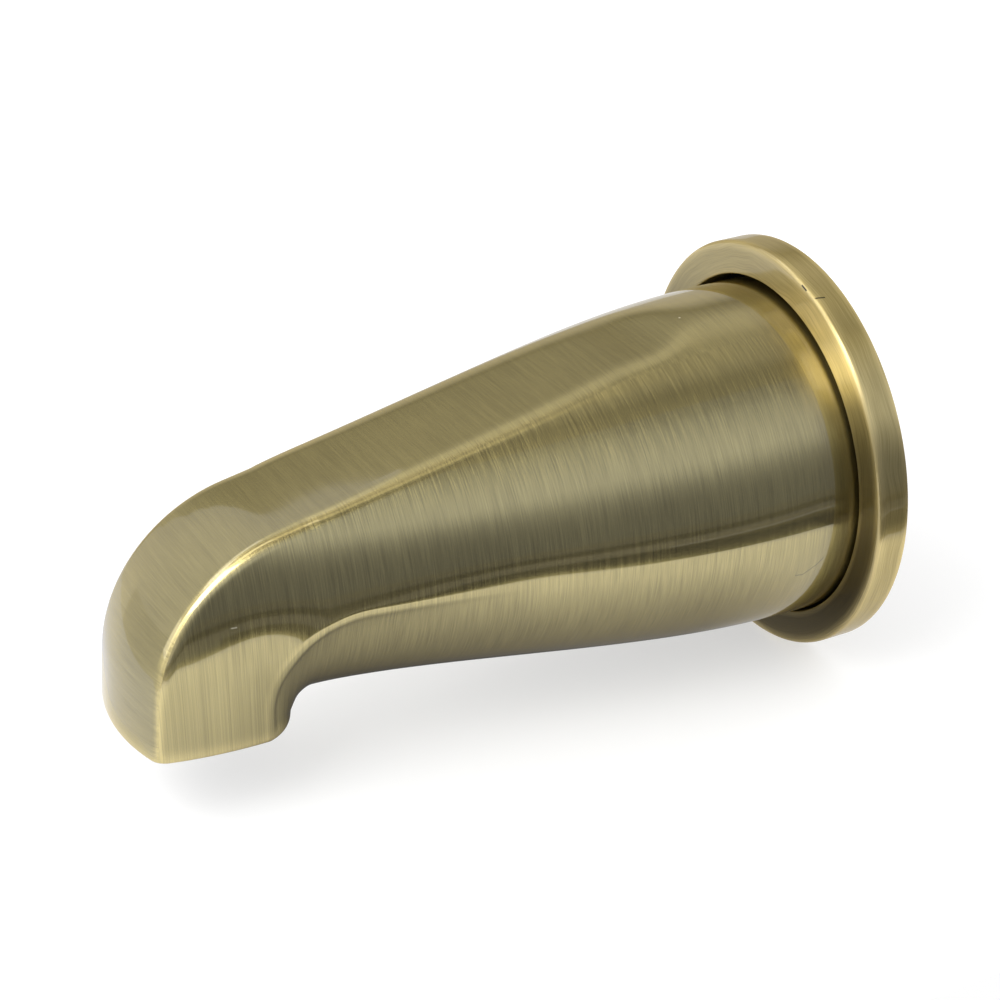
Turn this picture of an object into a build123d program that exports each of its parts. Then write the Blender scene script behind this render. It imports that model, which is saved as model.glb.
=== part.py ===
from build123d import *
import os
from math import asin, atan2, cos, hypot, pi, radians, sin, sqrt, tan

# A bath spout: a hollow cast body, a threaded inlet bush and a loose wall flange.
# +Z is up, the wall is the plane Y = 0, and the spout reaches from it towards -Y.
# "Reach" is the distance from the wall. Millimetres and degrees.

# Barrel
barrel_r = 31.05
barrel_drop = 0.35  # the barrel's axis hangs this far below the flange's centre
wall = 2.6
half_start = 15.0  # the plan width starts to narrow at this reach
rise_start = 12.0  # and the height above the axis at this one
depth_start = 5.0  # and the depth below the axis at this one

# Flat strip along the top and round the nose
strip_height = 35.5  # where the strip's line would meet the wall
strip_slope = 11.6
strip_half = 11.3
nose_half = 12.8
nose_r = 29.0
nose_reach = 131.1  # the front face, just above the rim
front_lean = 4.0
front_bow = 2.2
soft_edge = 3.0  # blend of the strip's edges at the wall end
crisp_edge = 0.6  # and at the nose

# Outlet
rim_drop = 22.95  # rim below the flange's centre
rim_round = 0.7
lip_height = 1.55  # rim below the underside at the bend
nose_to_crease = 19.1
crease_r = 18.0  # the crease runs level along the side, then down a quarter circle to the rim
crease_to_throat = 8.5
rear_swell = 1.5  # how far the centre of the outlet's round rear lies ahead of the crease

# Bend, where the sections stop standing upright and fan round to the rim
throat_to_bend = 2.5
bend_half = 16.94
bend_rise = 21.14
side_taper = 8.0  # degrees, in plan, from the bend to the nose
rise_taper = 2.3
depth_taper = 2.3

# Inlet boss and bush
web_reach = 20.0
web = 5.0
boss_r = 17.0
boss_reach = 10.0
boss_length = 25.0
bush_r = 13.0
bush_fit = 0.05
bush_collar = 4.0
collar_flats = 28.0
thread_r = 9.3
thread_length = 17.0
waterway_r = 7.5
lead_in = 1.2

# Wall flange
flange_play = 0.8  # between the barrel and the flange's hole, all round
flange_breadth = 6.15
flange_thickness = 6.1
flange_round = 0.8  # edges of the front face: the outer one
hole_round = 0.3  # and the one round the hole

# Where a section's curves have points: shares of the side, and of the top from its corner to the middle
side_shares = [0, 0.2, 0.4, 0.6, 0.78, 0.89, 0.96, 1]
top_shares = [0.05, 0.16, 0.4, 0.7, 1]
side_part = 0.36
under_points = 12
upright_sections = 8
turned_sections = 6
lip_sections = 4

axis_z = -barrel_drop
rim_z = -rim_drop
pivot_z = rim_z + rim_round  # the sections fan round to the top of the rim's rounded edge
slope = tan(radians(strip_slope))
crease_reach = nose_reach - nose_to_crease
bend_reach = crease_reach - crease_to_throat - throat_to_bend
bend_depth = axis_z - rim_z - lip_height
flange_hole_r = barrel_r + flange_play


def ease(reach, start, value, end, end_value, end_taper):
    """Level up to start, then one smooth S curve to end_value, which it meets at end_taper."""
    if reach <= start:
        return value
    span = end - start
    t = (reach - start) / span
    level = (2 * t**3 - 3 * t**2 + 1) * value + (3 * t**2 - 2 * t**3) * end_value
    return level - (t**3 - t**2) * span * tan(radians(end_taper))


def soft_min(a, b, blend):
    """The smaller of two lengths, rounded over where they are within blend of each other."""
    share = min(max(0.5 + 0.5 * (b - a) / blend, 0), 1)
    return b * (1 - share) + a * share - blend * share * (1 - share)


def to_circle(angle, centre_reach, centre_z, radius):
    """Distance from the bend's pivot to the far side of a circle in the side view."""
    back, down = bend_reach - centre_reach, pivot_z - centre_z
    half = back * sin(angle) + down * cos(angle)
    return sqrt(half**2 - back**2 - down**2 + radius**2) - half


def to_strip(angle):
    """Distance from the pivot to the strip's side view: a line, the nose's arc, the front's line."""
    ahead, up = sin(angle), cos(angle)
    lean = radians(front_lean)
    top = radians(strip_slope)
    line = (strip_height - slope * bend_reach - pivot_z) / (up + slope * ahead)
    front = (nose_reach - bend_reach) / (ahead + tan(lean) * up)
    # Centre of the nose's arc, nose_r inside both lines
    high = cos(top) * strip_height - nose_r
    far = cos(lean) * nose_reach + sin(lean) * pivot_z - nose_r
    turn = cos(top + lean)
    centre_reach = (cos(top) * far - sin(lean) * high) / turn
    centre_z = (cos(lean) * high - sin(top) * far) / turn
    if bend_reach + line * ahead <= centre_reach + nose_r * sin(top):
        return line
    if pivot_z + front * up <= centre_z + nose_r * sin(lean):
        return front
    return to_circle(angle, centre_reach, centre_z, nose_r)


def crease_z(reach):
    """Height of the crease: level with the axis, then down a quarter circle."""
    past = max(reach - crease_reach + crease_r, 0)
    return axis_z - crease_r + sqrt(crease_r**2 - past**2)


def to_crease(angle):
    """Distance from the pivot to the crease: its quarter circle, then straight down to the rim."""
    centre_z = axis_z - crease_r
    arc = to_circle(angle, crease_reach - crease_r, centre_z, crease_r)
    if pivot_z + arc * cos(angle) < centre_z:
        return (crease_reach - bend_reach) / sin(angle)
    return arc


class Section:
    """One cross-section, across the body. half, rise and depth are its half-width and its reach above
    and below the line between its two widest points; strip is the height of the flat top above it."""

    def upright(self, reach):
        self.angle = 0
        self.reach = reach
        self.z = crease_z(reach)
        fall = axis_z - self.z
        self.half = ease(reach, half_start, barrel_r, bend_reach, bend_half, side_taper)
        self.rise = ease(reach, rise_start, barrel_r, bend_reach, bend_rise, rise_taper) + fall
        self.depth = ease(reach, depth_start, barrel_r, bend_reach, bend_depth, depth_taper) - fall
        self.strip = strip_height - slope * reach - self.z
        self.strip_half = strip_half
        self.blend = soft_edge + (crisp_edge - soft_edge) * reach / bend_reach
        self.swell = 0
        self.bow = 0
        return self

    def turned(self, angle):
        self.angle = angle
        crease = to_crease(angle)
        self.reach = bend_reach + crease * sin(angle)
        self.z = pivot_z + crease * cos(angle)
        self.half = bend_half - (self.reach - bend_reach) * tan(radians(side_taper))
        self.strip = to_strip(angle) - crease
        self.strip_half = strip_half + (nose_half - strip_half) * sin(angle)
        self.rise = self.strip / sqrt(1 - (self.strip_half / self.half) ** 2)
        throat = 1 / hypot(cos(angle) / (lip_height - rim_round), sin(angle) / throat_to_bend)
        self.depth = crease - throat
        self.blend = crisp_edge
        self.swell = rear_swell * sin(angle) ** 2
        self.bow = front_bow * sin(angle) ** 2
        return self

    def inset(self, by):
        """The same section with a wall of this thickness taken off inside."""
        self.half -= by
        self.rise -= by
        self.depth -= by
        self.strip -= by
        self.strip_half -= by
        return self

    def upper(self, turn):
        """Point of the sides and top at this angle up from the widest point: an ellipse cut by the strip."""
        across, up = cos(turn), sin(turn)
        ellipse = 1 / sqrt((across / self.half) ** 2 + (up / self.rise) ** 2)
        if up < 1e-9:
            return self.place(ellipse * across, 0)
        flat = self.strip / up
        if self.bow:
            bow_r = (self.strip_half**2 + self.bow**2) / (2 * self.bow)
            middle = self.strip + self.bow - bow_r
            flat = middle * up + sqrt(bow_r**2 - (middle * across) ** 2)
        length = soft_min(ellipse, flat, self.blend)
        return self.place(length * across, length * up)

    def lower(self, share):
        """Point of the round underside, this share of the way from one widest point to the other."""
        high = self.depth + self.swell
        wide = self.half / sqrt(1 - (self.swell / high) ** 2)
        start = asin(self.swell / high)
        turn = start + (pi - 2 * start) * share
        return self.place(wide * cos(turn), self.swell - high * sin(turn))

    def place(self, across, up):
        return Vector(across, -self.reach - up * sin(self.angle), self.z + up * cos(self.angle))

    def wire(self):
        """The closed section: one curve over the top and one underneath, with points kept near the corners."""
        corner = atan2(self.rise * sqrt(1 - (self.strip_half / self.half) ** 2), self.strip_half)
        turns = [corner * s for s in side_shares] + [corner + (pi / 2 - corner) * s for s in top_shares]
        turns += [pi - turn for turn in reversed(turns[:-1])]
        marks = [side_part * s for s in side_shares] + [side_part + (0.5 - side_part) * s for s in top_shares]
        marks += [1 - mark for mark in reversed(marks[:-1])]
        over = Edge.make_spline([self.upper(turn) for turn in turns], parameters=marks)
        shares = [i / under_points for i in range(under_points + 1)]
        under = Edge.make_spline([self.lower(share) for share in shares], parameters=shares)
        return Wire([over, under])


def skin(start, inset):
    """The spout from this reach to the pivot's level, in from the outside by inset."""
    steps = [start + (bend_reach - start) * i / (upright_sections - 1) for i in range(upright_sections)]
    turns = [pi / 2 * i / turned_sections for i in range(1, turned_sections + 1)]
    sections = [Section().upright(reach) for reach in steps] + [Section().turned(turn) for turn in turns]
    return Solid.make_loft([section.inset(inset).wire() for section in sections])


def lip():
    """The rim's rounded edge, from the last section of the fan down to the rim."""
    wires = []
    for i in range(lip_sections):
        turn = pi / 2 * i / (lip_sections - 1)
        section = Section().turned(pi / 2).inset(rim_round * (1 - cos(turn)))
        section.z -= rim_round * sin(turn)
        wires.append(section.wire())
    return Solid.make_loft(wires)


def along(reach, z, radius, length):
    """A round bar along the spout's axis, from this reach towards the nose."""
    place = Plane((0, -reach, z), z_dir=(0, -1, 0))
    return extrude(place * Circle(radius), length)


def make_body():
    body = Part() + skin(0, 0) + lip()
    chamber = skin(web_reach + web, wall)
    mouth = chamber.faces().filter_by(Plane.XY)[0]
    body -= chamber
    body -= extrude(mouth, 2 * rim_round, dir=(0, 0, -1))
    body -= along(0, axis_z, barrel_r - wall, web_reach)
    body += along(boss_reach, axis_z, boss_r, boss_length)
    body -= along(boss_reach, axis_z, bush_r + bush_fit, boss_length)
    return body


def make_bush():
    back = boss_reach - bush_collar
    collar_plane = Plane((0, -back, axis_z), z_dir=(0, -1, 0))
    collar = extrude(collar_plane * RegularPolygon(collar_flats / 2, 6, major_radius=False), bush_collar)
    bush = collar + along(boss_reach, axis_z, bush_r, boss_length)
    bush -= along(back, axis_z, thread_r, thread_length)
    bush -= along(back, axis_z, waterway_r, bush_collar + boss_length)
    mouth = bush.edges().filter_by(GeomType.CIRCLE).sort_by(Axis.Y)[-1]
    return chamfer(mouth, lead_in)


def make_flange():
    centre = Pos(flange_hole_r + flange_breadth / 2, -flange_thickness / 2)
    profile = centre * Rectangle(flange_breadth, flange_thickness)
    inner, outer = profile.vertices().group_by(Axis.Y)[0].sort_by(Axis.X)
    profile = fillet(outer, flange_round)
    profile = fillet(inner, hole_round)
    return revolve(profile, Axis.Y)


os.makedirs("parts", exist_ok=True)
for name, piece in {
    "spout_body": make_body(),
    "inlet_bush": make_bush(),
    "wall_flange": make_flange(),
}.items():
    export_step(piece, f"parts/{name}.step")
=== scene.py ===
"""A bath spout of brushed antique brass with its loose wall flange, on a white studio table."""
from math import asin, atan2, cos, degrees, hypot, pi, radians, sin, sqrt, tan

import bpy
import numpy as np
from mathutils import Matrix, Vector


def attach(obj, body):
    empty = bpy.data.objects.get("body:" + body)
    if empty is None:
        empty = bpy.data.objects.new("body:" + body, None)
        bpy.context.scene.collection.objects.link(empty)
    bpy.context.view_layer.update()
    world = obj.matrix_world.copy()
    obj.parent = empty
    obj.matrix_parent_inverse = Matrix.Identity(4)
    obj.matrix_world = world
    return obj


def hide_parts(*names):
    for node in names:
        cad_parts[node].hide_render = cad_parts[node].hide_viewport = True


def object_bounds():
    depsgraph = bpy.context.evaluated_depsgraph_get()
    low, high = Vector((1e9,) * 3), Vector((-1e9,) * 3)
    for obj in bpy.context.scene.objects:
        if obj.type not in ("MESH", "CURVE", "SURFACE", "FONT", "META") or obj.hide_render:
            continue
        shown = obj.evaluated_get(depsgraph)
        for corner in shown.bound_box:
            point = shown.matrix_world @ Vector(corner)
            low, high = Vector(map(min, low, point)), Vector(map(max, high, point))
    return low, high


bpy.ops.wm.read_factory_settings(use_empty=True)
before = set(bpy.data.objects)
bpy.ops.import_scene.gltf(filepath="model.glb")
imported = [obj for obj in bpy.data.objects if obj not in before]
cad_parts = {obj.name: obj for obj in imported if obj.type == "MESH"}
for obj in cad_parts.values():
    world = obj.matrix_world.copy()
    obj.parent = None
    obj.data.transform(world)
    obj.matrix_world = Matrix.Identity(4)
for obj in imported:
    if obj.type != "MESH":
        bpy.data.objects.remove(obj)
cad_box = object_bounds()

MM = 0.001
TINY = 1e-9
QUARTER = pi / 2
FLOAT = "NodeSocketFloat"
VECTOR = "NodeSocketVector"

# A Mix node's sockets for colours, by number because their names are shared
MIX_A, MIX_B, MIX_RESULT = 6, 7, 2

# Barrel, in millimetres like all sizes of the castings; reach is the distance from the wall
barrel_r = 31.05
axis_z = -0.35  # the barrel's axis hangs below the flange's centre
wall = 2.6
half_start = 15.0  # the plan width starts to narrow at this reach
rise_start = 12.0  # and the height above the axis at this one
depth_start = 5.0  # and the depth below the axis at this one

# Flat strip along the top and round the nose
strip_height = 35.5  # where the strip's line would meet the wall
strip_slope = radians(11.6)
strip_half = 11.3
nose_half = 12.8
nose_r = 29.0
nose_reach = 131.1
front_lean = radians(4.0)
front_bow = 2.2
wall_end_blend = 0.3  # rounding of the strip's edges at the wall end
nose_blend = 1.8  # and at the nose

# Shallow dish where the strip runs out towards the wall
dish_depth = 0.6
dish_reach = 32.0
dish_length = 6.5

# Outlet and the bend above it
rim_z = -22.95
rim_round = 0.7
lip_height = 1.55
crease_reach = 112.0
crease_r = 18.0
rear_swell = 1.5
throat_to_bend = 2.5
bend_reach = 101.0
bend_half = 16.94
bend_rise = 21.14
side_taper = radians(8.0)
end_taper = radians(2.3)
pivot_z = rim_z + rim_round
bend_depth = axis_z - rim_z - lip_height
mouth_round = 0.3

# Step at the crease, where the nose flares out and stands proud of the neck behind it
edge_breadth = 0.9
step_depth = 0.35
step_round = 0.8
step_fade = 12.0
step_start = 62.0
step_rise = 3.0  # the step comes in over this height above the rim
neck_slope = tan(radians(12))
neck_fade = 6.0
neck_rise = 12.0  # and the drawn-in neck over this one
flare_slope = tan(radians(9))
flare_fade = 4.5
flare_end = 20  # degrees round the bend where the flare starts to go
flare_end_length = 32

# Inlet boss inside the barrel
web_reach = 20.0
web = 5.0
boss_r = 17.0
boss_reach = 10.0
boss_length = 25.0
bore_r = 13.05
inlet_round = 0.4

# Inlet bush: a hexagon collar behind the boss and a threaded bore
bush_r = 13.0
bush_collar = 4.0
collar_flats = 28.0
collar_chamfer = 0.7
bush_round = 0.15
thread_crest_r = 9.3
thread_root_r = 10.6
thread_length = 17.0
thread_pitch = 1.814
ridge_sunk = 0.05
waterway_r = 7.5

# Wall flange
hole_r = 31.85
flange_breadth = 6.15
flange_thickness = 6.1
flange_round = 0.8
hole_round = 0.3
back_round = 0.15
flange_r = hole_r + flange_breadth

# Columns round a section of the body, closest together at the strip's edges and at the crease
side_columns = 44
top_columns = 26
under_columns = 72
crowding = 1.7
side_shares = 1 - (1 - np.arange(side_columns + 1) / side_columns) ** crowding
top_shares = (np.arange(1, top_columns + 1) / top_columns) ** crowding
under_shares = 0.5 - 0.5 * np.cos(np.pi * np.arange(under_columns + 1) / under_columns)
columns = 2 * (side_columns + top_columns) + under_columns
near_crease = under_columns // 2
strip_first = near_crease + side_columns
strip_last = strip_first + 2 * top_columns
far_crease = strip_last + side_columns

# Rings along the body: the skin, the lip and the chamber
upright_rings = 67
turned_rings = 60
lip_rings = 6
chamber_turned_rings = 24
chamber_rings = 20
skin_rows = upright_rings + turned_rings
outer_rows = skin_rows + lip_rings

# Points round the turned pieces
bush_points = 144
ring_points = 192
corner_points = 4
edge_cuts = 4
helix_points = 72
gap_points = 96

# Wear and painted highlight on the body: the skin's ring where it starts on an edge, and the rings over which
# it comes in
edge_wear_ring = 20
edge_wear_rings = 60
edge_wear_width = 0.8
crease_wear_ring = 42
crease_wear_rings = 25
crease_wear = 0.3
crease_wear_height = 0.2
crease_wear_width = 0.6
rim_wear_width = 1.8
light_brush_margin = 2.0

# Flange: its edges, worn and partly a painted highlight; the bright part of its face, a painted highlight;
# and the dark part, painted shade
outer_wear_width = 1.1
hole_wear = 0.7
hole_wear_width = 0.45
back_wear_width = 0.5
face_highlight = 0.8
face_highlight_turn = radians(62)
face_highlight_spread = radians(27)
painted_shade_top = radians(45)
painted_shade_spread = radians(55)

# Brass finish: its broad lines are multiples of the fine ones
broad_width = 6
broad_length = 1.6
light_contrast = 0.5
roughness_swing = 0.03
# Painted shade: the brown that darkens the lower part of the flange's face
painted_shade_brown = (0.06, 0.043, 0.016)

# Camera: its directions, and its place back, right and up from the flange's centre in flange radii
camera_lens = 93.6
camera_back = Vector((0.7700, -0.4185, 0.4816)).normalized()
camera_right = Vector((0.4775, 0.8786, 0)).normalized()
camera_place = (12.6741, -1.3875, -0.3099)

# Studio, in metres
table_z = cad_box[0].z
table_right = 0.107
table_front = -0.237
sheet_z = table_z + 0.001  # sheets that lie on the table
lamp_target = Vector((0, -0.06, 0))


def ease(reach, start, value, end_value, taper):
    """Level up to start, then one smooth S curve to end_value at the bend, which it meets at taper."""
    if reach <= start:
        return value
    span = bend_reach - start
    t = (reach - start) / span
    eased = (2 * t**3 - 3 * t**2 + 1) * value + (3 * t**2 - 2 * t**3) * end_value
    return eased - (t**3 - t**2) * span * tan(taper)


def soft_min(a, b, blend):
    """The smaller of two lengths, rounded over where they are within blend of each other."""
    share = np.clip(0.5 + 0.5 * (b - a) / blend, 0, 1)
    return b * (1 - share) + a * share - blend * share * (1 - share)


def smooth(share):
    """A soft start and end between 0 and 1."""
    share = np.clip(share, 0, 1)
    return share * share * (3 - 2 * share)


def bell(gap):
    """A bump that is 1 at no gap and fades away on both sides."""
    return np.exp(-np.square(gap))


def to_circle(angle, centre_reach, centre_z, radius):
    """Distance from the bend's pivot to the far side of a circle in the side view."""
    back, down = bend_reach - centre_reach, pivot_z - centre_z
    half = back * sin(angle) + down * cos(angle)
    return sqrt(half**2 - back**2 - down**2 + radius**2) - half


def to_strip(angle):
    """Distance from the pivot to the strip's side view: a line, the nose's arc, the front's line."""
    ahead, up = sin(angle), cos(angle)
    slope = tan(strip_slope)
    line = (strip_height - slope * bend_reach - pivot_z) / (up + slope * ahead)
    front = (nose_reach - bend_reach) / (ahead + tan(front_lean) * up)
    # Centre of the nose's arc, nose_r inside both lines
    high = cos(strip_slope) * strip_height - nose_r
    far = cos(front_lean) * nose_reach + sin(front_lean) * pivot_z - nose_r
    turn = cos(strip_slope + front_lean)
    centre_reach = (cos(strip_slope) * far - sin(front_lean) * high) / turn
    centre_z = (cos(front_lean) * high - sin(strip_slope) * far) / turn
    if bend_reach + line * ahead <= centre_reach + nose_r * sin(strip_slope):
        return line
    if pivot_z + front * up <= centre_z + nose_r * sin(front_lean):
        return front
    return to_circle(angle, centre_reach, centre_z, nose_r)


def to_crease(angle):
    """Distance from the pivot to the crease: its quarter circle, then straight down to the rim."""
    centre_z = axis_z - crease_r
    arc = to_circle(angle, crease_reach - crease_r, centre_z, crease_r)
    if pivot_z + arc * cos(angle) < centre_z:
        return (crease_reach - bend_reach) / sin(angle)
    return arc


class Section:
    """One cross-section of the body. half, rise and depth are its half-width and its reach above and
    below the line between its widest points, and strip is the flat top's height above that line.
    step, neck and flare are shares of the finer forms at the crease."""

    def upright(self, reach):
        """A section of the barrel, which stands upright."""
        past = max(reach - crease_reach + crease_r, 0)
        fall = crease_r - sqrt(crease_r**2 - past**2)
        self.angle = 0
        self.reach = reach
        self.z = axis_z - fall
        self.half = ease(reach, half_start, barrel_r, bend_half, side_taper)
        self.rise = ease(reach, rise_start, barrel_r, bend_rise, end_taper) + fall
        self.depth = ease(reach, depth_start, barrel_r, bend_depth, end_taper) - fall
        dish = dish_depth * bell((reach - dish_reach) / dish_length)
        self.strip = strip_height - tan(strip_slope) * reach - dish - self.z
        self.strip_half = strip_half
        self.blend = wall_end_blend + (nose_blend - wall_end_blend) * reach / bend_reach
        self.swell = self.bow = 0
        self.step = smooth((reach - step_start) / (bend_reach - step_start))
        self.neck = self.flare = self.step
        return self

    def turned(self, angle):
        """A section of the nose, turned round the bend by an angle."""
        crease = to_crease(angle)
        ahead, up = sin(angle), cos(angle)
        self.angle = angle
        self.reach = bend_reach + crease * ahead
        self.z = pivot_z + crease * up
        self.half = bend_half - (self.reach - bend_reach) * tan(side_taper)
        self.strip = to_strip(angle) - crease
        self.strip_half = strip_half + (nose_half - strip_half) * ahead
        self.rise = self.strip / sqrt(1 - (self.strip_half / self.half) ** 2)
        self.depth = crease - 1 / hypot(up / (lip_height - rim_round), ahead / throat_to_bend)
        self.blend = nose_blend
        self.swell = rear_swell * ahead**2
        self.bow = front_bow * ahead**2
        self.step = smooth((self.z - pivot_z) / step_rise)
        self.neck = smooth((self.z - pivot_z) / neck_rise)
        self.flare = 1 - smooth((degrees(angle) - flare_end) / flare_end_length)
        return self

    def inset(self, by):
        """The same section without its finer forms, and with this much taken off all round."""
        self.step = self.neck = self.flare = 0
        self.half -= by
        self.rise -= by
        self.depth -= by
        self.strip -= by
        self.strip_half -= by
        return self

    def lower_by(self, drop):
        """The same section, this much lower."""
        self.z -= drop
        return self

    def corner(self):
        """Angle of the strip's edge, up from the widest point."""
        return atan2(self.rise * sqrt(1 - (self.strip_half / self.half) ** 2), self.strip_half)

    def upper(self, turns):
        """The sides and top: an ellipse cut by the strip."""
        across, up = np.cos(turns), np.maximum(np.sin(turns), TINY)
        ellipse = 1 / np.sqrt((across / self.half) ** 2 + (up / self.rise) ** 2)
        flat = self.strip / up
        if self.bow:
            bow_r = (self.strip_half**2 + self.bow**2) / (2 * self.bow)
            middle = self.strip + self.bow - bow_r
            flat = middle * up + np.sqrt(np.maximum(bow_r**2 - (middle * across) ** 2, 0))
        length = soft_min(ellipse, flat, self.blend)
        flare = self.flare * flare_slope * flare_fade * np.exp(-length * up / flare_fade)
        return length * across + np.sign(across) * flare, length * up

    def lower(self, shares):
        """The round underside, by shares of the way from one widest point to the other."""
        high = self.depth + self.swell
        wide = self.half / sqrt(1 - (self.swell / high) ** 2)
        start = asin(self.swell / high)
        turns = start + (pi - 2 * start) * shares
        across, up = wide * np.cos(turns), self.swell - high * np.sin(turns)
        corner = np.clip((-up - edge_breadth) / step_round, 0, 1) ** 2
        below = np.maximum(-up - edge_breadth - step_round, 0)
        flare = self.flare * flare_slope * flare_fade * np.exp(-below / flare_fade)
        step = self.step * step_depth * corner * np.exp(-below / step_fade)
        slope = self.neck * neck_slope * below * np.exp(-below / neck_fade)
        return across + np.sign(across) * (flare - step - slope), up

    def ring(self):
        """Points once round, from under the middle up the near side and over the top."""
        corner = self.corner()
        turns = np.concatenate([corner * side_shares, corner + (QUARTER - corner) * top_shares])
        turns = np.concatenate([turns, pi - turns[-2::-1]])
        across, up = [
            np.concatenate([under[near_crease:0:-1], over, under[-2:near_crease:-1]])
            for over, under in zip(self.upper(turns), self.lower(under_shares))
        ]
        ahead = self.reach + up * sin(self.angle)
        return np.stack([across, -ahead, self.z + up * cos(self.angle)], axis=1)


def turned_ring(reach, lengths, turns):
    """Points round the barrel's axis, at these lengths from it."""
    x, z = lengths * np.cos(turns), axis_z + lengths * np.sin(turns)
    return np.stack([x, np.full(len(turns), -reach), z], axis=1)


def circle(reach, radius):
    """A ring of the inlet, with its points in line with a section's."""
    points = Section().upright(0).ring()
    return turned_ring(reach, radius, np.arctan2(points[:, 2] - axis_z, points[:, 0]))


def eased_corner(before, corner, after, radius):
    """Three rings that round the corner between two surfaces."""
    def toward(there):
        gap = there - corner
        length = np.linalg.norm(gap, axis=1, keepdims=True)
        return corner + gap / length * np.minimum(radius, length / 2)
    first, last = toward(before), toward(after)
    return [first, (first + 2 * corner + last) / 4, last]


def body_rings():
    """All rings of the body: out along the skin, in through the outlet and back through the inlet."""
    skin = [Section().upright(reach).ring() for reach in np.linspace(0, bend_reach, upright_rings + 1)[1:]]
    skin += [Section().turned(angle).ring() for angle in np.linspace(0, QUARTER, turned_rings + 1)[1:]]
    lip = []
    for turn in np.linspace(0, QUARTER, lip_rings + 1)[1:]:
        section = Section().turned(QUARTER).inset(rim_round * (1 - cos(turn)))
        lip.append(section.lower_by(rim_round * sin(turn)).ring())
    mouth = Section().turned(QUARTER).inset(wall).lower_by(rim_round).ring()
    chamber_end = web_reach + web
    chamber = [Section().turned(angle) for angle in np.linspace(QUARTER, 0, chamber_turned_rings + 1)[:-1]]
    chamber += [Section().upright(reach) for reach in np.linspace(bend_reach, chamber_end, chamber_rings)]
    chamber = [section.inset(wall).ring() for section in chamber]
    pocket_r = barrel_r - wall
    boss_end = boss_reach + boss_length
    inlet = [
        (chamber_end, boss_r), (boss_end, boss_r), (boss_end, bore_r), (boss_reach, bore_r),
        (boss_reach, boss_r), (web_reach, boss_r), (web_reach, pocket_r), (0, pocket_r),
    ]
    path = [chamber[-1]] + [circle(reach, radius) for reach, radius in inlet]
    path += [Section().upright(0).ring(), skin[0]]
    rings = skin + lip + eased_corner(lip[-1], mouth, chamber[0], mouth_round) + chamber
    for before, corner, after in zip(path, path[1:], path[2:]):
        rings += eased_corner(before, corner, after, inlet_round)
    return rings


def closed_mesh(name, rings):
    """A closed skin over rings of points, the last one joined to the first."""
    rows, count = len(rings), len(rings[0])
    faces = []
    for row in range(rows):
        here, there = row * count, (row + 1) % rows * count
        for column in range(count):
            side = (column + 1) % count
            faces.append((here + column, here + side, there + side, there + column))
    mesh = bpy.data.meshes.new(name)
    mesh.from_pydata((np.concatenate(rings) * MM).tolist(), [], faces)
    mesh.update()
    mesh.shade_smooth()
    return mesh


def in_scene(name, data):
    """A new object in the scene, at the origin."""
    made = bpy.data.objects.new(name, data)
    bpy.context.scene.collection.objects.link(made)
    return made


def new_piece(mesh, slot, *nodes):
    """Puts a mesh in the scene in place of the castings that it stands for, if any."""
    piece = in_scene(mesh.name, mesh)
    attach(piece, "root")
    if nodes:
        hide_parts(*nodes)


def set_values(items, name, values):
    """Sets one thing of each item of a mesh, from rows."""
    items.foreach_set(name, values.astype(np.float32).ravel())


def values_of(items, name, width=3, kind=np.float32):
    """One thing of each item of a mesh, as rows this wide."""
    values = np.zeros(len(items) * width, dtype=kind)
    items.foreach_get(name, values)
    return values.reshape(-1, width)


def set_grain(mesh, across_lines):
    """Keeps the direction that lies across the brush lines, for the sheen."""
    set_values(mesh.attributes.new("across_lines", "FLOAT_VECTOR", "POINT").data, "vector", across_lines)


def set_brush_map(mesh, across, along):
    """Keeps each face corner's place across and along the brush lines, in metres."""
    set_values(mesh.uv_layers.new(name="brush_map").data, "uv", np.stack([across, along], axis=-1))


def set_share(mesh, name, share):
    """Keeps a share from 0 to 1 at each point, such as how far the finish is rubbed off."""
    set_values(mesh.attributes.new(name, "FLOAT", "POINT").data, "value", np.clip(share, 0, 1))


def unit(vectors):
    """The same directions, each one long."""
    return vectors / np.maximum(np.linalg.norm(vectors, axis=-1, keepdims=True), TINY)


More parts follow.
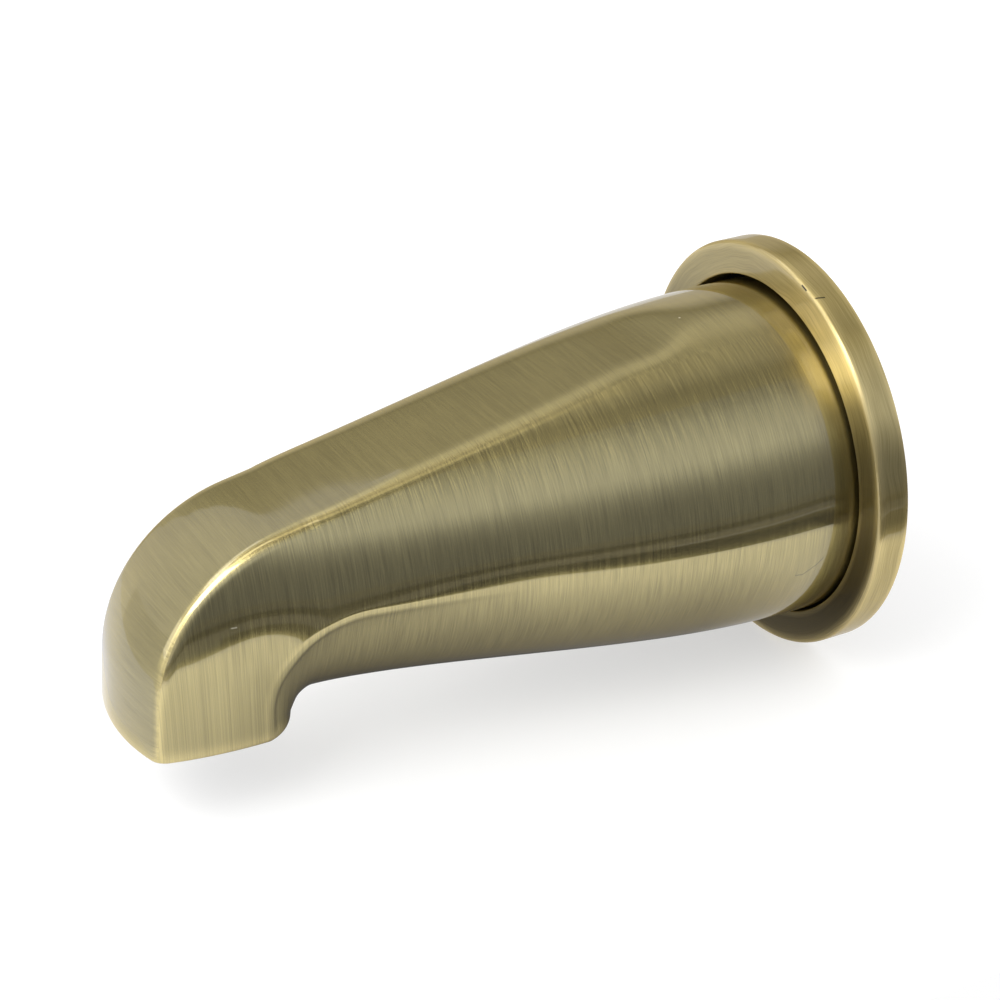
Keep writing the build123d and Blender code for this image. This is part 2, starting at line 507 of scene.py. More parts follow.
def make_body(brass, raw_casting):
    """The cast body, brushed outside and raw inside."""
    rings = body_rings()
    rows = len(rings)
    mesh = closed_mesh("spout_shell", rings)
    points = np.array(rings) * MM
    normals = values_of(mesh.vertex_normals, "vector").reshape(rows, columns, 3)
    on_strip = np.zeros((rows, columns), dtype=bool)
    on_strip[:outer_rows, strip_first:strip_last + 1] = True

    # Sheen runs along the spout, and on the strip along it and down round the nose
    along_spout = (0, 1, 0) - normals * normals[..., 1:2]
    along_strip = np.cross(normals, (1, 0, 0))
    set_grain(mesh, unit(np.where(on_strip[..., None], along_strip, along_spout)))

    # The lines' places: reach on the sides, and length along the strip's middle on the strip
    middle = (strip_first + strip_last) // 2
    steps = np.linalg.norm(np.diff(points[:, middle], axis=0), axis=1)
    length = np.concatenate([[0], np.cumsum(steps)])
    round_steps = np.linalg.norm(np.diff(points, axis=1, append=points[:, :1]), axis=2)
    around = np.concatenate([np.zeros((rows, 1)), np.cumsum(round_steps, axis=1)], axis=1)
    around -= around[:, middle:middle + 1]
    row = np.repeat(np.arange(rows), columns)
    column = np.tile(np.arange(columns), rows)
    next_row = (row + 1) % rows
    corner_rows = np.stack([row, row, next_row, next_row], axis=1)
    corner_columns = np.stack([column, column + 1, column + 1, column], axis=1)
    across = -points[corner_rows, corner_columns % columns, 1]
    strip_face = on_strip[row, column] & on_strip[row, (column + 1) % columns]
    across = np.where(strip_face[:, None], length[corner_rows], across)
    set_brush_map(mesh, across, around[corner_rows, corner_columns])

    # Edges lighter in colour: partly where the polishing wheel rubbed the dark finish thin, partly a painted
    # highlight
    def round_from(start):
        return (around[:, :columns] - around[:, start:start + 1]) / MM

    skin_ring = np.arange(skin_rows)[:, None]
    rubbed_and_highlight = np.zeros((rows, columns))
    edge_share = np.clip((skin_ring - edge_wear_ring) / edge_wear_rings, 0, 1)
    for edge in (strip_first, strip_last):
        rubbed_and_highlight[:skin_rows] += edge_share * bell(round_from(edge)[:skin_rows] / edge_wear_width)
    crease_share = crease_wear * np.clip((skin_ring - crease_wear_ring) / crease_wear_rings, 0, 1)
    for crease, upward in ((near_crease, 1), (far_crease, -1)):
        over = upward * round_from(crease)[:skin_rows] - crease_wear_height
        rubbed_and_highlight[:skin_rows] += crease_share * bell(over / crease_wear_width)
    # The rim's light band is partly wear and partly a painted highlight
    above_rim = (points[:outer_rows, :, 2] - rim_z * MM) / MM
    rubbed_and_highlight[:outer_rows] += bell(above_rim / rim_wear_width)
    set_share(mesh, "rubbed_and_highlight", rubbed_and_highlight)

    # Strip, which was brushed more lightly than the sides
    inward = np.minimum(round_from(strip_first), -round_from(strip_last))
    set_share(mesh, "lightly_brushed", np.where(on_strip, inward / light_brush_margin, 0))

    mesh.materials.append(brass)
    mesh.materials.append(raw_casting)
    mesh.polygons.foreach_set("material_index", (row >= outer_rows).astype(np.int32))
    new_piece(mesh, "spout_brass", "spout_body")


def set_inputs(tree, node, inputs):
    """Sets a node's inputs. One that is given a socket is linked to it."""
    for name, value in inputs.items():
        if isinstance(value, bpy.types.NodeSocket):
            tree.links.new(value, node.inputs[name])
        else:
            node.inputs[name].default_value = value


def add(tree, kind, inputs=None, **settings):
    """A new node with its settings and inputs."""
    node = tree.nodes.new(kind)
    for name, value in settings.items():
        setattr(node, name, value)
    set_inputs(tree, node, inputs or {})
    return node


def out(tree, kind, inputs=None, **settings):
    """The first output of a new node."""
    return add(tree, kind, inputs, **settings).outputs[0]


def calc(tree, operation, *values):
    """One step of arithmetic on sockets and numbers."""
    return out(tree, "ShaderNodeMath", dict(enumerate(values)), operation=operation)


def total(tree, first, *others):
    """The sum of some values."""
    for value in others:
        first = calc(tree, "ADD", first, value)
    return first


def ranged(tree, value, low, high, to_low=0.0, to_high=1.0):
    """A value between low and high, as one between to_low and to_high."""
    inputs = {"Value": value, "From Min": low, "From Max": high, "To Min": to_low, "To Max": to_high}
    return out(tree, "ShaderNodeMapRange", inputs)


def scaled(tree, mask, low, high):
    """A mask from 0 to 1 as a value between low and high."""
    return ranged(tree, mask, 0.0, 1.0, low, high)


def mixed(tree, share, a, b):
    """Two colours mixed by a mask."""
    a, b = [c if isinstance(c, bpy.types.NodeSocket) else (*c, 1) for c in (a, b)]
    inputs = {"Factor": share, MIX_A: a, MIX_B: b}
    return add(tree, "ShaderNodeMix", inputs, data_type="RGBA").outputs[MIX_RESULT]


def parts_of(tree, vector):
    """A vector's X, Y and Z."""
    return add(tree, "ShaderNodeSeparateXYZ", {"Vector": vector}).outputs


def node_group(name, kind, inputs, outputs):
    """A node group with named sockets: its tree, what comes in and what goes out."""
    tree = bpy.data.node_groups.new(name, kind)
    for in_out, sockets in (("INPUT", inputs), ("OUTPUT", outputs)):
        for label, socket_type in sockets.items():
            tree.interface.new_socket(label, in_out=in_out, socket_type=socket_type)
    return tree, tree.nodes.new("NodeGroupInput").outputs, tree.nodes.new("NodeGroupOutput").inputs


def geometry_tree(name, labels):
    """A Geometry Nodes tree that makes a piece from named sizes and a finish."""
    inputs = dict.fromkeys(labels, FLOAT) | {"Finish": "NodeSocketMaterial"}
    return node_group(name, "GeometryNodeTree", inputs, {"Geometry": "NodeSocketGeometry"})


def finish_nodes(tree, geometry, material, end):
    """The last nodes of a piece's tree: real geometry with its finish."""
    real = out(tree, "GeometryNodeRealizeInstances", {"Geometry": geometry})
    dressed = out(tree, "GeometryNodeSetMaterial", {"Geometry": real, "Material": material})
    tree.links.new(dressed, end["Geometry"])


def either(tree, test, yes, no):
    """One of two lengths, by a test."""
    inputs = {"Switch": test, "False": no, "True": yes}
    return out(tree, "GeometryNodeSwitch", inputs, input_type="FLOAT")


def turned_ring_nodes():
    """A flat ring turned on a lathe: its rounded section swept round a circle about the Y axis."""
    labels = ("Middle Radius", "Breadth", "Thickness", "Outer Round", "Hole Round", "Back Round")
    tree, sizes, end = geometry_tree("turned_ring", labels)
    path = out(tree, "GeometryNodeCurvePrimitiveCircle", {
        "Resolution": ring_points, "Radius": sizes["Middle Radius"],
    })
    section = out(tree, "GeometryNodeCurvePrimitiveQuadrilateral", {
        "Width": sizes["Breadth"], "Height": sizes["Thickness"],
    })
    corner = parts_of(tree, out(tree, "GeometryNodeInputPosition"))
    outside = out(tree, "FunctionNodeCompare", {"A": corner["X"]}, operation="GREATER_THAN")
    behind = out(tree, "FunctionNodeCompare", {"A": corner["Y"]}, operation="GREATER_THAN")
    front_round = either(tree, outside, sizes["Outer Round"], sizes["Hole Round"])
    radius = either(tree, behind, sizes["Back Round"], front_round)
    rounded = out(tree, "GeometryNodeFilletCurve", {
        "Curve": section, "Count": corner_points, "Radius": radius,
    }, mode="POLY")
    divided = out(tree, "GeometryNodeSubdivideCurve", {"Curve": rounded, "Cuts": edge_cuts})
    ring = out(tree, "GeometryNodeCurveToMesh", {"Curve": path, "Profile Curve": divided})
    half = calc(tree, "MULTIPLY", sizes["Thickness"], -0.5)
    forward = out(tree, "ShaderNodeCombineXYZ", {"Y": half})
    upright_ring = out(tree, "GeometryNodeTransform", {
        "Geometry": ring, "Translation": forward, "Rotation": (QUARTER, 0, 0),
    })
    finish_nodes(tree, upright_ring, sizes["Finish"], end)
    return tree


def thread_ridge_nodes():
    """A screw thread's ridge: a triangle swept along a helix about the Y axis."""
    labels = ("Middle Radius", "Ridge Size", "Turns", "Length", "Axis Height", "Far End")
    tree, sizes, end = geometry_tree("thread_ridge", labels)
    helix = out(tree, "GeometryNodeCurveSpiral", {
        "Resolution": helix_points, "Rotations": sizes["Turns"], "Height": sizes["Length"],
        "Start Radius": sizes["Middle Radius"], "End Radius": sizes["Middle Radius"],
    })
    steady = out(tree, "GeometryNodeSetCurveNormal", {"Curve": helix}, mode="Z_UP")
    triangle = out(tree, "GeometryNodeCurvePrimitiveCircle", {"Resolution": 3, "Radius": sizes["Ridge Size"]})
    inward = out(tree, "GeometryNodeTransform", {"Geometry": triangle, "Rotation": (0, 0, pi)})
    ridge = out(tree, "GeometryNodeCurveToMesh", {
        "Curve": steady, "Profile Curve": inward, "Fill Caps": True,
    })
    place = out(tree, "ShaderNodeCombineXYZ", {"Y": sizes["Far End"], "Z": sizes["Axis Height"]})
    lying = out(tree, "GeometryNodeTransform", {
        "Geometry": ridge, "Translation": place, "Rotation": (-QUARTER, 0, 0),
    })
    finish_nodes(tree, lying, sizes["Finish"], end)
    return tree


def mesh_from_nodes(name, tree, inputs):
    """The plain mesh that a tree makes from these inputs."""
    maker = in_scene(name + "_maker", bpy.data.meshes.new(name + "_maker"))
    modifier = maker.modifiers.new(name, "NODES")
    modifier.node_group = tree
    for socket in tree.interface.items_tree:
        if socket.in_out == "INPUT":
            modifier[socket.identifier] = inputs[socket.name]
    scene_state = bpy.context.evaluated_depsgraph_get()
    mesh = bpy.data.meshes.new_from_object(maker.evaluated_get(scene_state))
    mesh.name = name
    bpy.data.objects.remove(maker)
    return mesh


def make_flange(brass):
    """The loose ring on the wall."""
    mesh = mesh_from_nodes("wall_ring", turned_ring_nodes(), {
        "Middle Radius": (hole_r + flange_breadth / 2) * MM,
        "Breadth": flange_breadth * MM,
        "Thickness": flange_thickness * MM,
        "Outer Round": flange_round * MM,
        "Hole Round": hole_round * MM,
        "Back Round": back_round * MM,
        "Finish": brass,
    })
    mesh.shade_smooth()
    points = values_of(mesh.vertices, "co")
    normals = values_of(mesh.vertex_normals, "vector")
    radius = np.hypot(points[:, 0], points[:, 2])
    turn = np.arctan2(points[:, 2], points[:, 0])
    around = np.stack([-np.sin(turn), np.zeros_like(turn), np.cos(turn)], axis=1)
    set_grain(mesh, unit(np.cross(normals, around)))

    # The lines' places: outward on the face and on over the rim, and round the ring
    outward = radius - hole_r * MM
    back = points[:, 1] + flange_thickness * MM
    loops = values_of(mesh.loops, "vertex_index", 1, np.int32)[:, 0]
    starts = values_of(mesh.polygons, "loop_start", 1, np.int32)[:, 0]
    first = np.repeat(turn[loops[starts]], 4)
    wound = first + (turn[loops] - first + pi) % (2 * pi) - pi
    set_brush_map(mesh, (outward + back)[loops], wound * hole_r * MM)

    # Edges lighter in colour, partly rubbed bright and partly a painted highlight: the outer one of the face,
    # the hole's and the back one of the rim
    to_rim = flange_breadth * MM - outward
    to_back = flange_thickness * MM - back
    rubbed_and_highlight = bell((to_rim + back) / (outer_wear_width * MM))
    rubbed_and_highlight += hole_wear * bell((outward + back) / (hole_wear_width * MM))
    rubbed_and_highlight += bell((to_rim + to_back) / (back_wear_width * MM))
    facing = np.clip(-normals[:, 1], 0, 1)
    # Painted highlight: a bright band on the upper near part of the face
    rubbed_and_highlight += face_highlight * facing * bell((turn - face_highlight_turn) / face_highlight_spread)
    set_share(mesh, "rubbed_and_highlight", rubbed_and_highlight)

    # Painted shade: the lower part of the face darkened, standing in for the dark barrel that it reflects
    above = np.arcsin(np.clip(points[:, 2] / radius, -1, 1))
    set_share(mesh, "painted_shade", smooth((painted_shade_top - above) / painted_shade_spread) * facing)
    new_piece(mesh, "flange_brass", "wall_flange")


def bush_ring(reach, radius, six_sided=False):
    """A ring of the bush, round or six-sided."""
    turns = np.arange(bush_points) * 2 * pi / bush_points
    if not six_sided:
        return turned_ring(reach, radius, turns)
    sixth = pi / 3
    return turned_ring(reach, radius / np.cos((turns + sixth / 2) % sixth - sixth / 2), turns)


def make_bush(bare_brass):
    """The inlet's turned bush, with the thread cut down to its root."""
    back = boss_reach - bush_collar
    front = boss_reach + boss_length
    thread_end = back + thread_length
    flat_r = collar_flats / 2
    path = [
        bush_ring(back, thread_root_r),
        bush_ring(back, flat_r),
        bush_ring(back + collar_chamfer, flat_r, six_sided=True),
        bush_ring(boss_reach, flat_r, six_sided=True),
        bush_ring(boss_reach, bush_r),
        bush_ring(front, bush_r),
        bush_ring(front, waterway_r),
        bush_ring(thread_end, waterway_r),
        bush_ring(thread_end, thread_root_r),
    ]
    rings = []
    for before, corner, after in zip(path[-1:] + path, path, path[1:] + path[:1]):
        rings += eased_corner(before, corner, after, bush_round)
    mesh = closed_mesh("threaded_bush", rings)
    mesh.materials.append(bare_brass)
    new_piece(mesh, "bush_brass", "inlet_bush")


def make_thread(bare_brass):
    """The thread's ridge, which stands on the root from one pitch inside each end."""
    # A triangle's height is one and a half times its radius
    ridge = (thread_root_r - thread_crest_r) / 1.5 + ridge_sunk
    length = thread_length - 2 * thread_pitch
    mesh = mesh_from_nodes("inlet_thread_ridge", thread_ridge_nodes(), {
        "Middle Radius": (thread_crest_r + ridge) * MM,
        "Ridge Size": ridge * MM,
        "Turns": length / thread_pitch,
        "Length": length * MM,
        "Axis Height": axis_z * MM,
        "Far End": -(boss_reach - bush_collar + thread_pitch + length) * MM,
        "Finish": bare_brass,
    })
    new_piece(mesh, "bush_brass")


def shader_group(name, inputs, output):
    """A shader node group with named inputs and one output."""
    return node_group(name, "ShaderNodeTree", inputs, {output: FLOAT})


def noise(tree, place, scale, detail, roughness, **settings):
    """Soft noise from 0 to 1."""
    inputs = {"Vector": place, "Scale": scale, "Detail": detail, "Roughness": roughness}
    return out(tree, "ShaderNodeTexNoise", inputs, **settings)


def brushed_lines_group():
    """Fine lines from a brushing wheel, each fading in and out along its length."""
    tree, start, end = shader_group(
        "brushed_lines", {"Place": VECTOR, "Line Width": FLOAT, "Line Length": FLOAT, "Waver": FLOAT}, "Lines"
    )
    sway = noise(tree, start["Place"], 90.0, 1.0, 0.5, noise_dimensions="2D")
    place = parts_of(tree, start["Place"])
    swayed = calc(tree, "MULTIPLY_ADD", sway, start["Waver"], place["X"])
    across = calc(tree, "DIVIDE", swayed, start["Line Width"])
    along = calc(tree, "DIVIDE", place["Y"], start["Line Length"])
    stretched = out(tree, "ShaderNodeCombineXYZ", {"X": across, "Y": along})
    lines = noise(tree, stretched, 1.0, 3.0, 0.6, noise_dimensions="2D")
    tree.links.new(ranged(tree, lines, 0.25, 0.75), end["Lines"])
    return tree


def nick_group():
    """A short straight nick between two points."""
    tree, start, end = shader_group(
        "nick", {"Place": VECTOR, "Start": VECTOR, "End": VECTOR, "Width": FLOAT}, "Nick"
    )

    def vector(operation, inputs):
        return add(tree, "ShaderNodeVectorMath", inputs, operation=operation).outputs

    run = vector("SUBTRACT", {0: start["End"], 1: start["Start"]})["Vector"]
    off = vector("SUBTRACT", {0: start["Place"], 1: start["Start"]})["Vector"]
    along = vector("DOT_PRODUCT", {0: off, 1: run})["Value"]
    whole = vector("DOT_PRODUCT", {0: run, 1: run})["Value"]
    share = out(tree, "ShaderNodeClamp", {"Value": calc(tree, "DIVIDE", along, whole)})
    nearest = vector("SCALE", {0: run, "Scale": share})["Vector"]
    aside = vector("SUBTRACT", {0: off, 1: nearest})["Vector"]
    gap = calc(tree, "DIVIDE", vector("LENGTH", {0: aside})["Value"], start["Width"])
    tree.links.new(ranged(tree, gap, 0.3, 1.0, 1.0, 0.0), end["Nick"])
    return tree


def tarnish_group():
    """Soft patches of darker finish."""
    tree, start, end = shader_group("tarnish", {"Place": VECTOR, "Patch Scale": FLOAT}, "Patches")
    patches = noise(tree, start["Place"], start["Patch Scale"], 3.0, 0.5)
    tree.links.new(ranged(tree, patches, 0.3, 0.7), end["Patches"])
    return tree


brushed_lines = brushed_lines_group()
tarnish = tarnish_group()
nick = nick_group()


def group(tree, kind, inputs):
    """A group with its inputs, as its one output."""
    return out(tree, "ShaderNodeGroup", inputs, node_tree=kind)


def kept(tree, name, output="Fac"):
    """What a mesh keeps at its points under a name."""
    return add(tree, "ShaderNodeAttribute", attribute_name=name).outputs[output]


def own_place(tree):
    """A point's place on its object, in metres."""
    return add(tree, "ShaderNodeTexCoord").outputs["Object"]


def metal(name):
    """A new metal, its node tree and its shader."""
    material = bpy.data.materials.new(name)
    material.use_nodes = True
    shader = material.node_tree.nodes["Principled BSDF"]
    shader.inputs["Metallic"].default_value = 1
    return material, material.node_tree, shader


def bumps(tree, height, strength, distance):
    """Normals of a surface with fine relief."""
    return out(tree, "ShaderNodeBump", {"Height": height, "Strength": strength, "Distance": distance})


def brushed_brass(name, dark, light, worn_and_highlight_gold, line_width, line_length, waver, roughness, lacquer, nicks):
    """Antique brass under clear lacquer: brushed lines, soft tarnish, rubbed edges with painted highlight,
    painted shade and a few nicks.
    """
    material, tree, shader = metal(name)
    place = add(tree, "ShaderNodeUVMap", uv_map="brush_map").outputs["UV"]
    solid_place = own_place(tree)
    lines = {"Place": place, "Line Width": line_width, "Line Length": line_length, "Waver": waver}
    fine = group(tree, brushed_lines, lines)
    broad_lines = lines | {"Line Width": broad_width * line_width, "Line Length": broad_length * line_length}
    broad = group(tree, brushed_lines, broad_lines)
    contrast = scaled(tree, kept(tree, "lightly_brushed"), 1.0, light_contrast)
    fine = calc(tree, "MULTIPLY_ADD", calc(tree, "SUBTRACT", fine, 0.5), contrast, 0.5)
    patches = group(tree, tarnish, {"Place": solid_place, "Patch Scale": 45.0})
    weights = ((fine, 0.6), (broad, 0.2), (patches, 0.2))
    tone = total(tree, *(scaled(tree, mask, 0.0, weight) for mask, weight in weights))
    colour = mixed(tree, tone, dark, light)
    # Painted shade, darker brown where the mesh keeps a share of it
    painted_shade = scaled(tree, kept(tree, "painted_shade"), 0.0, 0.9)
    colour = mixed(tree, painted_shade, colour, painted_shade_brown)
    # Worn gold on rubbed edges, partly a painted highlight
    worn_and_highlight = calc(tree, "MULTIPLY", kept(tree, "rubbed_and_highlight"), scaled(tree, fine, 0.45, 1.0))
    colour = mixed(tree, worn_and_highlight, colour, worn_and_highlight_gold)
    for start, end, width, shade in nicks:
        marked = group(tree, nick, {
            "Place": solid_place, "Start": Vector(start) * MM, "End": Vector(end) * MM, "Width": width * MM,
        })
        colour = mixed(tree, marked, colour, shade)
    set_inputs(tree, shader, {
        "Base Color": colour,
        "Roughness": scaled(tree, fine, roughness - roughness_swing, roughness + roughness_swing),
        "Tangent": kept(tree, "across_lines", "Vector"),
        "Normal": bumps(tree, fine, 0.15, 0.00003),
        "Anisotropic": 1,
        "Specular Tint": (0.85, 0.72, 0.42, 1),
        "Coat Weight": lacquer,
        "Coat Roughness": 0.04,
        "Coat IOR": 1.7,
    })
    return material


def bare_brass_finish():
    """Turned brass with no plating: fine tool lines and dull patches."""
    material, tree, shader = metal("bare_brass")
    place = own_place(tree)
    patches = group(tree, tarnish, {"Place": place, "Patch Scale": 120.0})
    parts = parts_of(tree, place)
    turned_place = out(tree, "ShaderNodeCombineXYZ", {"X": parts["Y"], "Y": parts["Z"]})
    lines = group(tree, brushed_lines, {
        "Place": turned_place, "Line Width": 0.0003, "Line Length": 0.03, "Waver": 0.0,
    })
    set_inputs(tree, shader, {
        "Base Color": mixed(tree, patches, (0.50, 0.36, 0.14), (0.66, 0.50, 0.22)),
        "Roughness": scaled(tree, lines, 0.28, 0.42),
        "Normal": bumps(tree, lines, 0.2, 0.00003),
    })
    return material


def raw_casting_finish():
    """The dull inside of the casting, grainy and unpolished."""
    material, tree, shader = metal("raw_casting")
    place = own_place(tree)
    patches = group(tree, tarnish, {"Place": place, "Patch Scale": 160.0})
    grain = group(tree, tarnish, {"Place": place, "Patch Scale": 2200.0})
    set_inputs(tree, shader, {
        "Base Color": mixed(tree, patches, (0.09, 0.08, 0.06), (0.16, 0.14, 0.10)),
        "Roughness": scaled(tree, grain, 0.5, 0.7),
        "Normal": bumps(tree, grain, 0.4, 0.0001),
    })
    return material


def make_camera():
    """The camera, placed by the flange's circles in the picture."""
    data = bpy.data.cameras.new("camera")
    data.lens = camera_lens
    data.clip_start = 0.01
    camera = in_scene("camera", data)
    directions = (camera_back, camera_right, camera_back.cross(camera_right))
    place = sum((share * way for share, way in zip(camera_place, directions)), Vector())
    camera.location = flange_r * MM * place
    camera.rotation_mode = "QUATERNION"
    camera.rotation_quaternion = (-camera_back).to_track_quat("-Z", "Y")
    bpy.context.scene.camera = camera


def studio_mesh(name, points, faces, material):
    """A mesh of the studio, from its points in metres."""
    mesh = bpy.data.meshes.new(name)
    mesh.from_pydata(points, [], faces)
    mesh.materials.append(material)
    board = in_scene(name, mesh)
    return board


def flat_board(name, corners, material):
    """A flat board of the studio, from its corners."""
    return studio_mesh(name, corners, [tuple(range(len(corners)))], material)


def reflector(name, corners, finish, *looks, **more_looks):
    """A board that only the metal's gloss sees, with its finish."""
    board = flat_board(name, corners, finish(name, *looks, **more_looks))
    board.visible_camera = False
    board.visible_diffuse = False
    board.visible_shadow = False


def studio_material(name):
    """A new material with no shader yet, its node tree and its output."""
    material = bpy.data.materials.new(name)
    material.use_nodes = True
    tree = material.node_tree
    tree.nodes.clear()
    return material, tree, add(tree, "ShaderNodeOutputMaterial").inputs["Surface"]


def glow(name, strength, tint=(1, 1, 1)):
    """A board's even light."""
    material, tree, surface = studio_material(name)
    tree.links.new(out(tree, "ShaderNodeEmission", {"Color": (*tint, 1), "Strength": strength}), surface)
    return material


def graded_glow(name, axis, stops, tint=(1, 1, 1)):
    """A board's light that grades along one axis, as (place in metres, strength) stops."""
    material, tree, surface = studio_material(name)
    low, high = stops[0][0], stops[-1][0]
    share = ranged(tree, parts_of(tree, own_place(tree))[axis], low, high)
    ramp = add(tree, "ShaderNodeValToRGB", {"Fac": share})
    elements = ramp.color_ramp.elements
    positions = [(place - low) / (high - low) for place, strength in stops]
    for position in positions[1:-1]:
        elements.new(position)
    for element, position, (place, strength) in zip(elements, positions, stops):
        element.position = position
        element.color = (*(strength * part for part in tint), 1)
    tree.links.new(out(tree, "ShaderNodeEmission", {"Color": ramp.outputs["Color"]}), surface)
    return material


def paper_finish():
    """White paper that the camera and the metal see as white, apart from the shadow; its glow is painted
    light, stronger towards the right-hand edge and a little towards the far left.
    """
    material, tree, surface = studio_material("white_paper")
    paper = out(tree, "ShaderNodeBsdfDiffuse", {"Color": (0.5, 0.5, 0.5, 1)})
    path = add(tree, "ShaderNodeLightPath").outputs
    seen = total(tree, path["Is Camera Ray"], path["Is Glossy Ray"], path["Is Transmission Ray"])
    across = parts_of(tree, own_place(tree))["X"]
    # Painted light: the glow grows towards the table's right-hand edge, and a little towards the far left
    right_painted_light = ranged(tree, across, 0.03, table_right, 0.53, 0.78)
    far_painted_light = ranged(tree, across, -0.02, -0.12, 0.0, 0.12)
    lift = calc(tree, "MULTIPLY", seen, total(tree, right_painted_light, far_painted_light))
    white = out(tree, "ShaderNodeEmission", {"Strength": lift})
    tree.links.new(out(tree, "ShaderNodeAddShader", {0: paper, 1: white}), surface)
    return material


def soft_shade(name, middle, half, reach, depth, light=0.08, end_squeeze=1.8, fade=1.3):
    """A board's shade that fades out to clear over its reach, round a rectangle under the spout."""
    material, tree, surface = studio_material(name)
    parts = parts_of(tree, own_place(tree))
    past = []
    for axis, centre, half_size in zip("XY", middle, half):
        off = calc(tree, "ABSOLUTE", calc(tree, "SUBTRACT", parts[axis], centre))
        past.append(calc(tree, "MAXIMUM", calc(tree, "SUBTRACT", off, half_size), 0.0))
    ends = calc(tree, "MULTIPLY", past[1], end_squeeze)
    gap = calc(tree, "SQRT", calc(tree, "MULTIPLY_ADD", ends, ends, calc(tree, "POWER", past[0], 2.0)))
    near = calc(tree, "MAXIMUM", calc(tree, "MULTIPLY_ADD", gap, -1 / reach, 1.0), 0.0)
    share = calc(tree, "MULTIPLY", calc(tree, "POWER", near, fade), depth)
    clear = out(tree, "ShaderNodeBsdfTransparent")
    dark = out(tree, "ShaderNodeEmission", {"Strength": light})
    tree.links.new(out(tree, "ShaderNodeMixShader", {0: share, 1: clear, 2: dark}), surface)
    return material


def gap_painted_shade():
    """Painted shade: black seen from the front only, for the shadow in the gap round the barrel."""
    material, tree, surface = studio_material("gap_painted_shade")
    black = out(tree, "ShaderNodeBsdfDiffuse", {"Color": (0.01, 0.01, 0.01, 1)})
    clear = out(tree, "ShaderNodeBsdfTransparent")
    behind = add(tree, "ShaderNodeNewGeometry").outputs["Backfacing"]
    tree.links.new(out(tree, "ShaderNodeMixShader", {0: behind, 1: black, 2: clear}), surface)
    return material


def make_gap_shade():
    """Painted shade: a dark ring behind the gap between barrel and flange, where the wall would be, standing
    in for the shadow in the gap.
    """
    overlap_in, overlap_out, y = 1.2, 0.6, -0.0002
    turns = np.arange(gap_points) * 2 * pi / gap_points
    points = []
    for radius in (barrel_r - overlap_in, hole_r + overlap_out):
        points += [(radius * MM * cos(turn), y, radius * MM * sin(turn)) for turn in turns]
    faces = []
    for i in range(gap_points):
        j = (i + 1) % gap_points
        faces.append((i, gap_points + i, gap_points + j, j))
    studio_mesh("gap_shade", points, faces, gap_painted_shade())


def make_world():
    """A plain white surround."""
    world = bpy.data.worlds.new("studio")
    world.use_nodes = True
    set_inputs(world.node_tree, world.node_tree.nodes["Background"], {"Color": (1, 1, 1, 1), "Strength": 1})
    bpy.context.scene.world = world


def softbox(name, azimuth, elevation, distance, width, height, brightness):
    """A soft lamp that faces the spout. Azimuth 0 is in front of the nose, 90 on the near side."""
    data = bpy.data.lights.new(name, "AREA")
    data.shape = "RECTANGLE"
    data.size, data.size_y = width, height
    data.energy = brightness * pi * width * height
    a, e = radians(azimuth), radians(elevation)
    away = Vector((sin(a) * cos(e), -cos(a) * cos(e), sin(e)))
    lamp = in_scene(name, data)
    lamp.location = lamp_target + away * distance
    lamp.rotation_mode = "QUATERNION"
    lamp.rotation_quaternion = away.to_track_quat("Z", "Y")
    lamp.visible_camera = False


def upright(x, y_low, y_high, z_low, z_high):
    """Corners of an upright board beside the spout."""
    return [(x, y_low, z_low), (x, y_high, z_low), (x, y_high, z_high), (x, y_low, z_high)]


def crosswise(y, x_low, x_high, z_low, z_high):
    """Corners of an upright board in front of the spout."""
    return [(x_low, y, z_low), (x_high, y, z_low), (x_high, y, z_high), (x_low, y, z_high)]


def level(z, x_low, x_high, y_low, y_high):
    """Corners of a level board."""
    return [(x_low, y_low, z), (x_high, y_low, z), (x_high, y_high, z), (x_low, y_high, z)]


# Marks, as start, end, width and colour: a hairline, a speck and a dash on the body, two ticks on the flange
hairline = [(29.50, -16.98, -9.87), (29.44, -15.44, -10.13), (29.93, -12.92, -8.54), (30.26, -11.75, -7.28)]
body_nicks = [(start, end, 0.13, (0.10, 0.08, 0.04)) for start, end in zip(hairline, hairline[1:])]
body_nicks += [
    ((1.05, -24.74, 29.00), (1.05, -24.74, 31.50), 0.26, (0.95, 0.90, 0.72)),
    ((14.33, -117.31, 0.51), (14.47, -116.49, 0.53), 0.16, (0.85, 0.80, 0.60)),
]
tick_black = (0.02, 0.018, 0.012)
flange_nicks = [
    ((10.89, -5.95, 36.05), (12.16, -5.95, 35.60), 0.22, tick_black),
    ((14.59, -6.05, 35.08), (14.91, -3.96, 34.94), 0.20, tick_black),
]
body_brass = brushed_brass(
    "antique_brass",
    dark=(0.19, 0.155, 0.054), light=(0.43, 0.364, 0.150), worn_and_highlight_gold=(0.62, 0.51, 0.22),
    line_width=0.00020, line_length=0.009, waver=0.0,
    roughness=0.22, lacquer=1.0, nicks=body_nicks,
)
flange_brass = brushed_brass(
    "warm_antique_brass",
    dark=(0.26, 0.205, 0.070), light=(0.50, 0.40, 0.165), worn_and_highlight_gold=(0.70, 0.56, 0.25),
    line_width=0.00025, line_length=0.010, waver=0.0025,
    roughness=0.31, lacquer=0.6, nicks=flange_nicks,
)
bare_brass = bare_brass_finish()
make_body(body_brass, raw_casting_finish())
make_flange(flange_brass)
make_bush(bare_brass)
make_thread(bare_brass)
make_camera()
make_gap_shade()
flat_board("table", level(table_z, -2, table_right, table_front, 2), paper_finish())

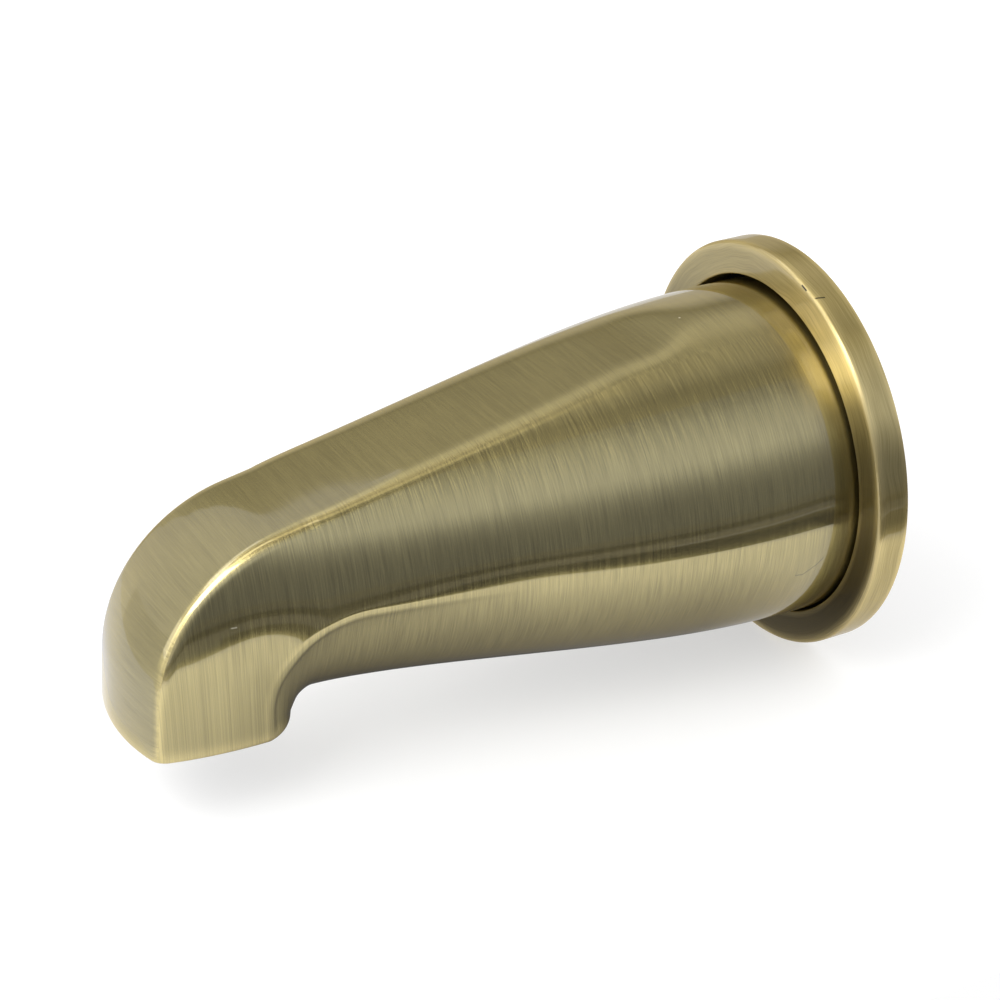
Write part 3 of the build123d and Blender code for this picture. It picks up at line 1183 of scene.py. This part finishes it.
# Cards round the spout, which only its gloss sees
cool_white = (0.96, 1.0, 1.10)
cooler_white = (0.96, 1.0, 1.14)
warm_white = (1.0, 0.96, 0.82)
left_outline = [
    (-0.38, -0.03), (1.4, -0.03), (1.4, 1.6), (0.09, 1.6), (0.09, 0.62), (0.05, 0.597), (0.0, 0.585),
    (-0.08, 0.567), (-0.18, 0.53), (-0.29, 0.455), (-0.38, 0.31),
]
front_outline = [
    (-0.4, table_front), (0.02, table_front), (0.02, -0.155), (-0.015, -0.155), (-0.05, -0.13),
    (-0.06, -0.05), (-0.4, -0.05),
]
flange_outline = [(0.105, -0.12), (0.130, -0.12), (0.130, 0.5), (0.02, 0.5)]
right_stops = [
    (-0.5, 0.10), (-0.16, 0.2), (-0.1, 0.29), (0.03, 0.32), (0.1, 0.36), (0.165, 0.45), (0.226, 0.58),
    (0.30, 0.82), (0.387, 1.0), (0.484, 1.0), (0.6, 0.94), (0.74, 0.82), (0.955, 0.66), (1.22, 0.42),
    (1.6, 0.34),
]
ceiling_stops = [(-0.8, 0.85), (-0.58, 0.65), (-0.3, 0.6), (0.05, 0.55), (0.3, 0.32), (0.62, 0.34)]
left_stops = [
    (-0.03, 0.6), (0.27, 0.82), (0.39, 0.74), (0.47, 0.54), (0.55, 0.37), (0.6, 0.46), (0.75, 0.64),
    (0.95, 0.88), (1.3, 0.92), (1.6, 0.85),
]
runner_stops = [
    (0.107, 0.2), (0.122, 0.2), (0.127, 0.33), (0.168, 0.33), (0.176, 0.14), (0.21, 0.14), (0.22, 0.29),
    (0.32, 0.29),
]
reflector("right_card", upright(0.62, -0.9, 1.3, -0.5, 1.6), graded_glow, "Z", right_stops, cool_white)
reflector("ceiling_card", level(1.6, -0.8, 0.62, -1.0, 1.4), graded_glow, "X", ceiling_stops, warm_white)
reflector("left_card", [(-0.8, y, z) for y, z in left_outline], graded_glow, "Z", left_stops, warm_white)
reflector("overhead_strip", level(1.58, -0.3, 0.0, -1.0, -0.08), glow, 1.8, warm_white)
reflector("edge_light", upright(-0.78, -0.7, -0.14, 0.85, 1.25), glow, 2.2)
reflector("far_table", level(sheet_z, -0.8, -0.08, -0.02, 1.4), glow, 0.88)
reflector("front_card", crosswise(-0.7, -1.0, 0.62, -0.6, 0.1), glow, 0.82)
reflector("front_strip", crosswise(-0.69, -0.32, 0.10, 0.03, 0.27), glow, 2.2)
reflector("front_sheet", [(x, y, sheet_z) for x, y in front_outline], glow, 1.15, cooler_white)
reflector("side_runner", level(table_z - 0.001, table_right, 0.32, -0.6, 0.8), graded_glow, "X", runner_stops)
reflector("runner_edge", level(table_z + 0.0005, 0.131, 0.1345, -0.02, 0.5), glow, 1.0)
reflector("flange_shade", [(x, y, sheet_z) for x, y in flange_outline], glow, 0.12)
reflector(
    "under_shade", level(table_z + 0.0015, -0.16, 0.1, -0.22, 0.05),
    soft_shade, middle=(-0.036, -0.062), half=(0.035, 0.036), reach=0.069, depth=0.95,
)
make_world()
softbox("key_softbox", azimuth=20, elevation=45, distance=1.0, width=0.6, height=0.6, brightness=5.0)
softbox("front_softbox", azimuth=-30, elevation=50, distance=1.2, width=0.5, height=0.4, brightness=2.5)
bpy.context.scene.view_settings.view_transform = "Standard"
